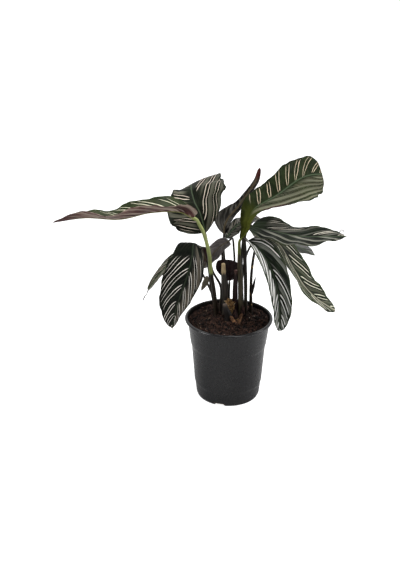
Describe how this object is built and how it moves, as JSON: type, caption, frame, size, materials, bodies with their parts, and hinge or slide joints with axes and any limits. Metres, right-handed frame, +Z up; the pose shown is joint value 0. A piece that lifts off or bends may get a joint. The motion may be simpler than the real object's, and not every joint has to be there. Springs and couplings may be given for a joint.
{
  "type": "potted calathea",
  "caption": "Pinstripe calathea with arching striped leaves on slender stalks, growing from a soil-filled round nursery pot.",
  "frame": {"origin": "centre of the pot's flat foot, on the surface it stands on", "axes": "+Z up along the pot's axis, -Y towards the front, +X to the right seen from the front, where the longest leaf points along -X"},
  "size_m": [0.4204, 0.2166, 0.3821],
  "materials": {
    "pot": "satin",
    "soil": "matte",
    "crown": "matte",
    "leaf_green": "satin",
    "leaf_maroon": "satin",
    "stalk_green": "satin",
    "stalk_dark": "satin",
    "dry_sheath": "matte"
  },
  "bodies": {
    "root": {"pot": "pot", "soil": "soil", "crown": "crown", "leaf_left_long": "leaf_green", "leaf_upper_left": "leaf_green", "leaf_lower_left": "leaf_green", "leaf_back_left": "leaf_green", "leaf_middle": "leaf_maroon", "leaf_inner_left": "leaf_maroon", "leaf_back": "leaf_green", "leaf_upper_right": "leaf_green", "leaf_right": "leaf_green", "leaf_right_drooping": "leaf_green", "leaf_right_low": "leaf_green", "leaf_right_behind": "leaf_green", "leaf_right_inner": "leaf_green", "leaf_small_young": "leaf_maroon", "stalk_left_long": "stalk_green", "stalk_upper_left": "stalk_dark", "stalk_lower_left": "stalk_dark", "stalk_back_left": "stalk_dark", "stalk_middle": "stalk_dark", "stalk_inner_left": "stalk_dark", "stalk_back": "stalk_dark", "stalk_upper_right": "stalk_dark", "stalk_right": "stalk_dark", "stalk_right_drooping": "stalk_dark", "stalk_right_low": "stalk_dark", "stalk_right_behind": "stalk_dark", "stalk_right_inner": "stalk_dark", "stalk_small_young": "stalk_dark", "stalk_cut": "stalk_dark", "stalk_brown": "stalk_dark", "stub_dark": "stalk_dark", "sheath_torn": "dry_sheath", "sheath_left": "dry_sheath", "sheath_right": "dry_sheath"}
  },
  "joints": []
}
